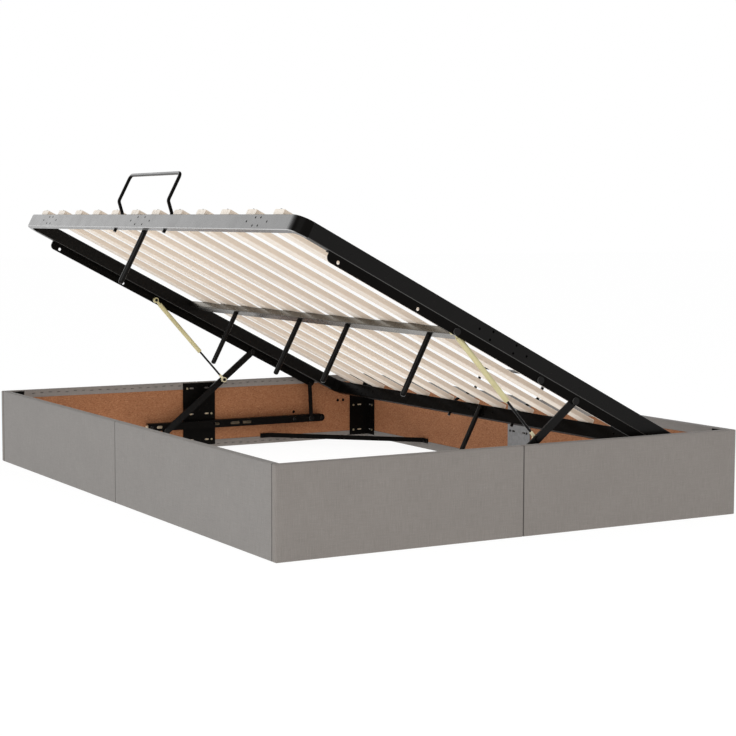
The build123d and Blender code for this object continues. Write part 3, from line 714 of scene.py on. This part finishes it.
class BED_OT_cloth_covers(bpy.types.Operator):
    """Wrap each half of the base's sides in woven cloth"""

    bl_idname = "storage_bed.cloth_covers"
    bl_label = "Cloth covers"

    def execute(self, context):
        settings = context.scene.bed_cloth
        long_cloth = cloth_material("long side cloth", settings.long_colour, settings)
        short_cloth = cloth_material("short side cloth", settings.short_colour, settings)
        for side in (*SHORT_SIDES, *LONG_SIDES):
            short = side in SHORT_SIDES
            cloth = short_cloth if short else long_cloth
            for half in halves(side):
                end = f"{side}_{half}"
                cover = cloth_cover(f"cloth_{end}", f"cover_{end}", cloth, settings)
        return {"FINISHED"}


# Staples

STAPLE_SEED = 7

# How far a staple's middle stands off the cloth, and how much its edges are
# rounded, as shares of its wire
STAPLE_PROUD = 0.35
STAPLE_ROUND = 0.3


class BED_OT_staples(bpy.types.Operator):
    """Staple the cloth's borders to the boards, clear of the plates and brackets"""

    bl_idname = "storage_bed.staples"
    bl_label = "Staples"

    def execute(self, context):
        settings = context.scene.bed_staples
        material, tree, surface = new_material("staple wire")
        scuffs = noise(tree, place(tree), scale=900, detail=2)
        scuffed = shade(tree, settings.colour, scuffs, strength=0.25)
        fill(tree, surface, {"Base Color": scuffed, "Metallic": 1, "Roughness": 0.45})
        draw = random.Random(STAPLE_SEED)
        for side in STAPLED_SIDES:
            self.staple_side(side, material, settings, draw)
        return {"FINISHED"}

    def staple_side(self, side, material, settings, draw):
        """Two rows of staples along one side of the base."""
        boxes = [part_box(f"cover_{side}_{half}") for half in halves(side)]
        low = Vector(map(min, *[box[0] for box in boxes]))
        high = Vector(map(max, *[box[1] for box in boxes]))
        along = long_axis(low, high)
        across = 1 - along
        inward = inward_sign(low, high, across)
        face = high[across] if inward > 0 else low[across]
        corner_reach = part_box("corner_brackets")[1][along] - settings.corner_room
        size = Vector((settings.width, settings.wire, settings.wire))
        bm = bmesh.new()
        count = int((high[along] - low[along]) / settings.pitch)
        for row in (low.z + settings.inset, high.z - settings.inset):
            for index in range(count):
                at = low[along] + (index + 0.5) * settings.pitch
                turn = draw.uniform(-settings.wobble, settings.wobble)
                drift = draw.uniform(-settings.drift, settings.drift) * settings.inset
                if abs(at) < settings.plate_room or abs(at) > corner_reach:
                    continue
                staple = bmesh.ops.create_cube(bm, size=1)["verts"]
                bmesh.ops.scale(bm, vec=size, verts=staple)
                spot = Vector((0, 0, row + drift))
                spot[along] = at
                spot[across] = face + inward * settings.wire * STAPLE_PROUD
                turned = Euler((0, turn, along * pi / 2)).to_matrix().to_4x4()
                placed = Matrix.Translation(spot) @ turned
                bmesh.ops.transform(bm, matrix=placed, verts=staple)
        bmesh.ops.bevel(
            bm,
            geom=[edge for edge in bm.edges if edge.calc_length() < 2 * settings.wire],
            offset=STAPLE_ROUND * settings.wire,
            segments=1,
            profile=0.5,
            affect="EDGES",
            material=-1,
        )
        staples = mesh_piece(f"staples_{side}", bm, material)
        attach(staples, "base")


# Boards

# Flakes lie flat, so they are shorter up the board than along it
FLAKE_STRETCH = (0.6, 0.6, 1.5)


class BED_OT_boards(bpy.types.Operator):
    """Finish the boards as brown chipboard"""

    bl_idname = "storage_bed.boards"
    bl_label = "Boards"

    def execute(self, context):
        settings = context.scene.bed_board
        material, tree, surface = new_material("chipboard")
        flakes = cells(tree, place(tree, scale=FLAKE_STRETCH), settings.flake)
        wobble = noise(tree, place(tree), scale=260, detail=2)
        tone = weigh(tree, flakes, wobble, share=0.62)
        coloured = settings.dark
        for low, high, colour in ((0.12, 0.5, settings.colour), (0.52, 0.9, settings.pale)):
            coloured = mix_colour(tree, spread(tree, tone, low, high), coloured, colour)
        for scale, detail, strength in ((5, 3, 0.08), (1500, 2, 0.12)):
            cloud = noise(tree, place(tree), scale, detail)
            coloured = shade(tree, coloured, cloud, strength)
        for mask, colour in (
            # Painted light on the board seen through the slots of plates, brackets and rails
            (self.painted_light_behind_steel(tree, settings), settings.bare),
            # Painted shade in the bored holes and on the board behind the hinge side's plate
            (self.shade_board_holes(tree, settings), settings.hole),
        ):
            coloured = mix_colour(tree, mask, coloured, colour)
        fill(tree, surface, {"Base Color": coloured, "Roughness": 0.78, "Specular IOR Level": 0.2})
        bump(tree, surface, tone, distance=0.2 * MM, strength=0.5)
        finish_nodes(material, *nodes_named("board_"))
        return {"FINISHED"}

    def shade_board_holes(self, tree, settings):
        """Where shade is painted: 1 deeper in the boards than their inner faces, and behind the
        hinge side's zinc-grey plate.
        """
        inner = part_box("corner_brackets")[1]
        depths = [
            calculate(tree, "SUBTRACT", from_middle(tree, axis), reach)
            for axis, reach in (("X", inner.x), ("Y", inner.y))
        ]
        return largest(
            tree,
            above(tree, largest(tree, *depths), settings.hole_depth),
            on_hinge_side(tree, inner.x - MM, settings.plate_half),
        )

    def painted_light_behind_steel(self, tree, settings):
        """Where light is painted: 1 on the board behind the plates, brackets and rails, seen
        through their slots.
        """
        from_x, from_y = from_middle(tree, "X"), from_middle(tree, "Y")
        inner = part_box("corner_brackets")[1]
        from_corner = largest(
            tree,
            calculate(tree, "SUBTRACT", inner.x, from_x),
            calculate(tree, "SUBTRACT", inner.y, from_y),
        )
        from_seam = calculate(tree, "MINIMUM", from_x, from_y)
        return largest(
            tree,
            self.behind_rails(tree, settings),
            below(tree, from_seam, settings.plate_half),
            below(tree, from_corner, settings.bracket_leg),
        )

    def behind_rails(self, tree, settings):
        """1 along both rails, at the height of their slots."""
        low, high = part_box("base_rail_head")
        position = split(tree, place(tree))
        from_slots = apart(tree, position["Z"], settings.rail_middle)
        return product(
            tree,
            below(tree, from_slots, settings.slot_half),
            above(tree, from_middle(tree, "Y"), low.y),
            above(tree, position["X"], low.x),
            below(tree, position["X"], high.x),
        )


# Steel

# How squarely paint faces a direction where the painted highlights and the painted reflection
# start and stop, on a rounded edge, on a flat face and round a bolt's head
ROUNDED = (0.8, 0.92)
FLAT = (0.9, 0.97)
BOLT_HEAD = (0.8, 0.95)

BOLT_ROUGHNESS = 0.22
BOLT_GLOSS = 0.16

# Size of the crystals on zinc, in metres
SPANGLE = 1 / 120


def paint_material(name, colour, roughness, gloss, peel_depth=0.6, tint=WHITE):
    """Semi-gloss powder coat: a fine orange peel and slightly uneven gloss."""
    material, tree, surface = new_material(name)
    peel = noise(tree, place(tree), scale=700, detail=2, roughness=0.5)
    cloud = noise(tree, place(tree), scale=14, roughness=0.6)
    smooth, rough = roughness - 0.05, roughness + 0.06
    fill(
        tree,
        surface,
        {
            "Base Color": shade(tree, colour, cloud, strength=0.12),
            "Roughness": spread(tree, cloud, NOISE_LOW, NOISE_HIGH, smooth, rough),
            "Specular IOR Level": gloss,
            "Specular Tint": tint,
        },
    )
    bump(tree, surface, peel, distance=0.05 * MM, strength=peel_depth)
    return material


class BED_OT_painted_steel(bpy.types.Operator):
    """Finish the frame, arms, rails, braces and brackets in black powder coat"""

    bl_idname = "storage_bed.painted_steel"
    bl_label = "Painted steel"

    def execute(self, context):
        settings = context.scene.bed_steel
        self.finish_middle_bar(settings)
        coats = (
            ("leg coat", settings.side_gloss, ("leg_", "front_arm", "rear_arm")),
            ("black powder coat", settings.gloss, ("top_bracket", "base_rail", "corner_b")),
            ("hinge bar coat", settings.hinge_gloss, ("hinge_bar",)),
        )
        for name, gloss, starts in coats:
            finish_nodes(self.coat(name, gloss, settings), *nodes_named(*starts))
        self.finish_side_bars(settings)
        self.finish_lift_bar(settings)
        hoops = self.lengthwise_gloss("mattress stop coat", settings.hoop_gloss, settings)
        finish_nodes(hoops, *nodes_named("mattress_stop"))
        self.finish_plates(settings)
        self.finish_fasteners(settings)
        return {"FINISHED"}

    def coat(self, name, gloss, settings, **more):
        """The black powder coat at a gloss."""
        return paint_material(name, settings.paint, settings.roughness, gloss, **more)

    def lengthwise_gloss(self, name, gloss, settings):
        """Paint that is glossy along the bed and duller where it turns to the bed's ends."""
        paint = self.coat(name, 0, settings, peel_depth=0.2)
        tree = paint.node_tree
        level = spread(tree, facing_ends(tree), 0.15, 0.5, gloss, settings.gloss)
        fill(tree, node_of(tree, "BSDF_PRINCIPLED"), {"Specular IOR Level": level})
        return paint

    def paint_light_facing(self, paint, direction, squareness, colour):
        """Painted light: lighter paint where a surface looks in a direction."""
        tree = paint.node_tree
        on_edge = spread(tree, facing(tree, direction.normalized()), *squareness)
        recolour(paint, on_edge, colour)

    def shade_bar_holes(self, paint, name, depth, margins, settings):
        """Painted shade: matt black in a straight bar's holes, deeper than margins across it and
        up it.
        """
        tree = paint.node_tree
        across, _, up = platform_axes()
        points = [vertex.co for vertex in NODES[name].data.vertices]
        straight = max(point.y for point in points) - settings.bend
        hollow = below(tree, from_middle(tree, "Y"), straight)
        first = min(across.dot(point) for point in points)
        heights = [up.dot(point) for point in points]
        for axis, low, high, margin in (
            (across, first, first + depth, margins[0]),
            (up, min(heights), max(heights), margins[1]),
        ):
            along_axis = project(tree, place(tree), axis)
            from_centre = apart(tree, along_axis, (low + high) / 2)
            hollow = product(tree, hollow, below(tree, from_centre, (high - low) / 2 - margin))
        recolour(paint, hollow, BLACK)
        gloss = node_of(tree, "BSDF_PRINCIPLED").inputs["Specular IOR Level"]
        level = gloss.links[0].from_socket if gloss.links else gloss.default_value
        solid = calculate(tree, "SUBTRACT", 1, hollow)
        tree.links.new(product(tree, level, solid), gloss)

    def finish_middle_bar(self, settings):
        """Warm gloss on the bar along the middle, and painted shade, matt black, in its holes."""
        paint = self.coat(
            "middle bar coat", settings.middle_gloss, settings, tint=settings.middle_tint
        )
        margins = (settings.bar_round, settings.skin)
        self.shade_bar_holes(paint, "mid_bar", settings.middle_depth, margins, settings)
        finish_nodes(paint, "mid_bar")

    def finish_side_bars(self, settings):
        """Paint on the short sides' bars, with painted highlights along their rounded lower edges.
        """
        paint = self.coat("side bar coat", settings.side_gloss, settings)
        _, along, up = platform_axes()
        for end in (along, -along):
            self.paint_light_facing(paint, end - up, ROUNDED, settings.edge)
        finish_nodes(paint, *nodes_named("side_bar"))

    def finish_lift_bar(self, settings):
        """Glossy paint on the lifting side's bar, with a painted reflection and a painted
        highlight below, and painted shade, matt black, in its holes.
        """
        paint = self.lengthwise_gloss("lifting bar coat", settings.bar_gloss, settings)
        across, _, up = platform_axes()
        # Painted reflection of the floor on the lower face, and a painted highlight on the rounded
        # lower edge
        self.paint_light_facing(paint, -up, FLAT, settings.lit_face)
        self.paint_light_facing(paint, -across - up, ROUNDED, settings.lit_edge)
        margins = (settings.skin, settings.bar_round)
        self.shade_bar_holes(paint, "lift_bar", settings.bar_depth, margins, settings)
        finish_nodes(paint, "lift_bar")

    def finish_plates(self, settings):
        """Black seam plates, of which the hinge side's has a zinc-grey painted reflection."""
        plates = self.coat("seam plate", settings.gloss, settings)
        tree = plates.node_tree
        crystals = cells(tree, place(tree), SPANGLE)
        zinc = shade(tree, settings.zinc, crystals, strength=0.07)
        # Painted reflection: zinc grey on the hinge side's plate
        recolour(plates, self.on_hinge_plate(tree, settings), zinc)
        finish_nodes(plates, "seam_plates")

    def on_hinge_plate(self, tree, settings):
        """1 on the hinge side's seam plate and its screws, where a reflection and shade are
        painted.
        """
        from_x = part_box("seam_plates")[1].x - settings.zinc_depth
        return on_hinge_side(tree, from_x, settings.zinc_half)

    def finish_fasteners(self, settings):
        """Blackened bolts with a painted highlight, plated base screws with painted shade in black
        on those in the zinc-grey plate, and slat screws.
        """
        bolts = paint_material("blackened bolt", settings.paint, BOLT_ROUGHNESS, BOLT_GLOSS)
        # A painted highlight: a lit ring round the heads, whose axes lie along the bed
        tree = bolts.node_tree
        ring = spread(tree, facing_ends(tree), *BOLT_HEAD, to_low=1, to_high=0)
        recolour(bolts, ring, settings.edge)
        finish_nodes(bolts, *nodes_named("base_bolts", "platform_bolts"))
        for name, colour, node in (
            ("yellow zinc screw", settings.yellow_zinc, "base_screws"),
            ("zinc screw", settings.zinc, "slat_screws"),
        ):
            material, tree, surface = new_material(name)
            wear = noise(tree, place(tree), scale=400)
            plated = shade(tree, colour, wear, strength=0.2)
            fill(tree, surface, {"Base Color": plated, "Metallic": 0.6, "Roughness": 0.4})
            # Painted shade: the base screws in the hinge side's plate are painted black
            if node == "base_screws":
                recolour(material, self.on_hinge_plate(tree, settings), settings.paint)
            finish_nodes(material, node)


# Slats

# Stretched noises for the grain along the slats, in steps per metre
FIBRES = (5, 420, 420)
GRAIN_BANDS = (1.6, 60, 60)

# Glue lines on a sawn edge, as a part of its colour
GLUE_LIGHTNESS = 0.7
GLUE_STRENGTH = 0.3

# Steps per metre along the bed in which the slats' tone changes
TONE_STEPS = 13


class BED_OT_slats(bpy.types.Operator):
    """Finish the slats as pale laminated veneer with its grain along them"""

    bl_idname = "storage_bed.slats"
    bl_label = "Slats"

    def execute(self, context):
        settings = context.scene.bed_slats
        turn = (0, -platform_tilt(), 0)
        material, tree, surface = new_material("slat veneer")
        fine = place(tree, scale=FIBRES, turn=turn)
        fibres = noise(tree, fine, scale=1, detail=4, roughness=0.6)
        broad = place(tree, scale=GRAIN_BANDS, turn=turn)
        stripes = noise(tree, broad, scale=1, roughness=0.6, distortion=0.4)
        grain = weigh(tree, fibres, stripes, share=0.5)
        grain = spread(tree, grain, low=0.32, high=0.62)
        coloured = mix_colour(tree, grain, settings.deep, settings.pale)
        position = place(tree, turn=turn)
        ply = bands(tree, position, settings.ply, "Z", distortion=0.4)
        glue = product(tree, ply, GLUE_STRENGTH)
        sawn = mix_colour(tree, glue, settings.edge, scaled(settings.edge, GLUE_LIGHTNESS))
        on_edge = spread(tree, facing_ends(tree), low=0.5, high=0.9)
        coloured = mix_colour(tree, on_edge, coloured, sawn)
        step = calculate(tree, "ROUND", product(tree, split(tree, position)["Y"], TONE_STEPS))
        each = add_node(
            tree, "ShaderNodeTexWhiteNoise", {"W": step}, noise_dimensions="1D"
        ).outputs["Value"]
        coloured = shade(tree, coloured, each, strength=0.035)
        fill(tree, surface, {"Base Color": coloured, "Roughness": 0.5, "Specular IOR Level": 0.3})
        bump(tree, surface, fibres, distance=0.08 * MM, strength=0.4)
        slats = [name for name in nodes_named("slat_") if name != "slat_screws"]
        finish_nodes(material, *slats)
        return {"FINISHED"}


# Struts

TUBE_ROUGHNESS = 0.38
TUBE_GLOSS = 0.45


class BED_OT_struts(bpy.types.Operator):
    """Finish the gas struts: pale tubes and end fittings, blackened rods"""

    bl_idname = "storage_bed.struts"
    bl_label = "Gas struts"

    def execute(self, context):
        settings = context.scene.bed_strut
        tube = paint_material("strut paint", settings.tube, TUBE_ROUGHNESS, TUBE_GLOSS)
        finish_nodes(tube, *nodes_named("strut_tube"))
        rod, tree, surface = new_material("strut rod")
        scratches = noise(tree, place(tree), scale=300)
        painted = shade(tree, settings.fitting, scratches, strength=0.06)
        black = shade(tree, settings.rod, scratches, strength=0.2)
        coloured = mix_colour(tree, self.on_fitting(tree, settings), black, painted)
        fill(tree, surface, {"Base Color": coloured, "Roughness": 0.2, "Specular IOR Level": 0.15})
        finish_nodes(rod, *nodes_named("strut_rod"))
        return {"FINISHED"}

    def on_fitting(self, tree, settings):
        """1 on the painted end of a rod, round its black pin."""
        low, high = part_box("strut_rod_foot")
        pin = Vector((high.x - settings.eye, 0, low.z + settings.eye))
        position = split(tree, place(tree))
        flat = add_node(
            tree, "ShaderNodeCombineXYZ", {"X": position["X"], "Z": position["Z"]}
        ).outputs[0]
        reach = add_node(
            tree, "ShaderNodeVectorMath", {0: flat, 1: pin}, operation="DISTANCE"
        ).outputs["Value"]
        painted = below(tree, reach, settings.fitting_reach)
        return product(tree, painted, above(tree, reach, settings.pin))


# Studio

FLOOR_COLOUR = (0.9, 0.9, 0.9)

# The lights' places, aims, and widths and heights, in metres
KEY_LIGHT = {"eye": (-4.5, -4.0, 4.2), "target": (0, 0, 0.3), "size": (4.0, 3.0)}
GLOSS_PANEL = {"eye": (-3.3, 6.0, 3.2), "target": (-0.6, 0, 0.8), "size": (5.0, 3.6)}

# Width of the camera's sensor in millimetres, and how far it sees in metres
SENSOR_WIDTH = 36
VIEW_DEPTH = 200


def stage_plane(name, size, material):
    """A level square at the floor's height."""
    bm = bmesh.new()
    bmesh.ops.create_grid(bm, x_segments=1, y_segments=1, size=size / 2)
    piece = mesh_piece(name, bm, material, smooth=False)


def seen_directly(tree):
    """1 for camera, glossy and transmission rays, and 0 for the light on the object."""
    rays = add_node(tree, "ShaderNodeLightPath").outputs
    kinds = ("Is Camera Ray", "Is Glossy Ray", "Is Transmission Ray")
    return largest(tree, *[rays[kind] for kind in kinds])


def area_light(name, power, eye, target, size):
    """A soft rectangular light aimed at a target."""
    data = bpy.data.lights.new(name, "AREA")
    data.shape = "RECTANGLE"
    data.size, data.size_y = size
    data.energy = power
    lamp = bpy.data.objects.new(name, data)
    lamp.location = eye
    lamp.rotation_mode = "QUATERNION"
    lamp.rotation_quaternion = (Vector(target) - Vector(eye)).to_track_quat("-Z", "Y")
    bpy.context.scene.collection.objects.link(lamp)
    return lamp


class BED_OT_studio(bpy.types.Operator):
    """Set up the pale floor, the soft light and the camera"""

    bl_idname = "storage_bed.studio"
    bl_label = "Studio"

    def execute(self, context):
        settings = context.scene.bed_studio
        scene = context.scene
        scene.view_settings.view_transform = "Standard"
        self.make_floor(settings)
        self.make_world(scene, settings)
        self.make_lights(settings)
        self.make_camera(scene, settings)
        return {"FINISHED"}

    def make_floor(self, settings):
        """A white floor that keeps a faint shadow and lights the object from below."""
        material, tree, surface = new_material("floor")
        seen = seen_directly(tree)
        unseen = calculate(tree, "SUBTRACT", 1, seen)
        fill(
            tree,
            surface,
            {
                "Base Color": FLOOR_COLOUR,
                "Roughness": 1,
                "Specular IOR Level": 0,
                "Emission Color": WHITE,
                "Emission Strength": product(tree, unseen, settings.floor_glow),
            },
        )
        white = add_node(
            tree,
            "ShaderNodeEmission",
            {"Color": WHITE, "Strength": settings.floor_level},
        )
        share = product(tree, seen, settings.floor_white)
        mixed = add_node(
            tree,
            "ShaderNodeMixShader",
            {0: share, 1: surface.outputs[0], 2: white.outputs[0]},
        )
        fill(tree, node_of(tree, "OUTPUT_MATERIAL"), {"Surface": mixed.outputs[0]})
        stage_plane("floor", settings.floor_size, material)

    def make_world(self, scene, settings):
        """An even sky: white where it's seen, softer as light."""
        world = bpy.data.worlds.new("studio")
        world.use_nodes = True
        scene.world = world
        tree = world.node_tree
        tree.nodes.clear()
        inputs = {"Value": seen_directly(tree), "To Min": settings.sky, "To Max": 1}
        strength = add_node(tree, "ShaderNodeMapRange", inputs).outputs["Result"]
        sky = add_node(tree, "ShaderNodeBackground", {"Color": WHITE, "Strength": strength})
        add_node(tree, "ShaderNodeOutputWorld", {"Surface": sky.outputs[0]})

    def make_lights(self, settings):
        """A soft key from the front left, and a panel that only gloss reflects."""
        area_light("key", settings.key, **KEY_LIGHT)
        panel = area_light("gloss panel", settings.gloss_panel, **GLOSS_PANEL)
        panel.visible_camera = False
        panel.visible_diffuse = False
        panel.visible_transmission = False

    def make_camera(self, scene, settings):
        """The photograph's view."""
        data = bpy.data.cameras.new("camera")
        data.lens = settings.lens
        data.sensor_width = SENSOR_WIDTH
        data.clip_end = VIEW_DEPTH
        camera = bpy.data.objects.new("camera", data)
        camera.location = settings.eye
        turn, level = settings.azimuth, cos(settings.drop)
        ahead = Vector((sin(turn) * level, cos(turn) * level, -sin(settings.drop)))
        camera.rotation_mode = "QUATERNION"
        rolled = Matrix.Rotation(settings.roll, 4, ahead).to_quaternion()
        camera.rotation_quaternion = rolled @ ahead.to_track_quat("-Z", "Y")
        scene.collection.objects.link(camera)
        scene.camera = camera


STEPS = (
    BED_OT_cloth_covers,
    BED_OT_staples,
    BED_OT_boards,
    BED_OT_painted_steel,
    BED_OT_slats,
    BED_OT_struts,
    BED_OT_studio,
)

SETTINGS = {
    "bed_cloth": ClothSettings,
    "bed_staples": StapleSettings,
    "bed_board": BoardSettings,
    "bed_steel": SteelSettings,
    "bed_slats": SlatSettings,
    "bed_strut": StrutSettings,
    "bed_studio": StudioSettings,
}


class BED_PT_panel(bpy.types.Panel):
    """Lists the steps and their sizes and colours"""

    bl_idname = "BED_PT_panel"
    bl_label = "Storage bed"
    bl_space_type = "VIEW_3D"
    bl_region_type = "UI"
    bl_category = "Storage bed"

    def draw(self, context):
        for step in STEPS:
            self.layout.operator(step.bl_idname)
        for name, group in SETTINGS.items():
            box = self.layout.box()
            box.label(text=group.__doc__)
            for key in group.__annotations__:
                box.prop(getattr(context.scene, name), key)


def register():
    """Register the settings, the steps and the panel."""
    for name, group in SETTINGS.items():
        bpy.utils.register_class(group)
        setattr(bpy.types.Scene, name, PointerProperty(type=group))
    for kind in (*STEPS, BED_PT_panel):
        bpy.utils.register_class(kind)


def unregister():
    """Undo register."""
    for kind in (BED_PT_panel, *reversed(STEPS)):
        bpy.utils.unregister_class(kind)
    for name, group in reversed(SETTINGS.items()):
        delattr(bpy.types.Scene, name)
        bpy.utils.unregister_class(group)


def main():
    """Run every step."""
    register()
    for step in STEPS:
        area, word = step.bl_idname.split(".")
        getattr(getattr(bpy.ops, area), word)()


if __name__ == "__main__":
    main()
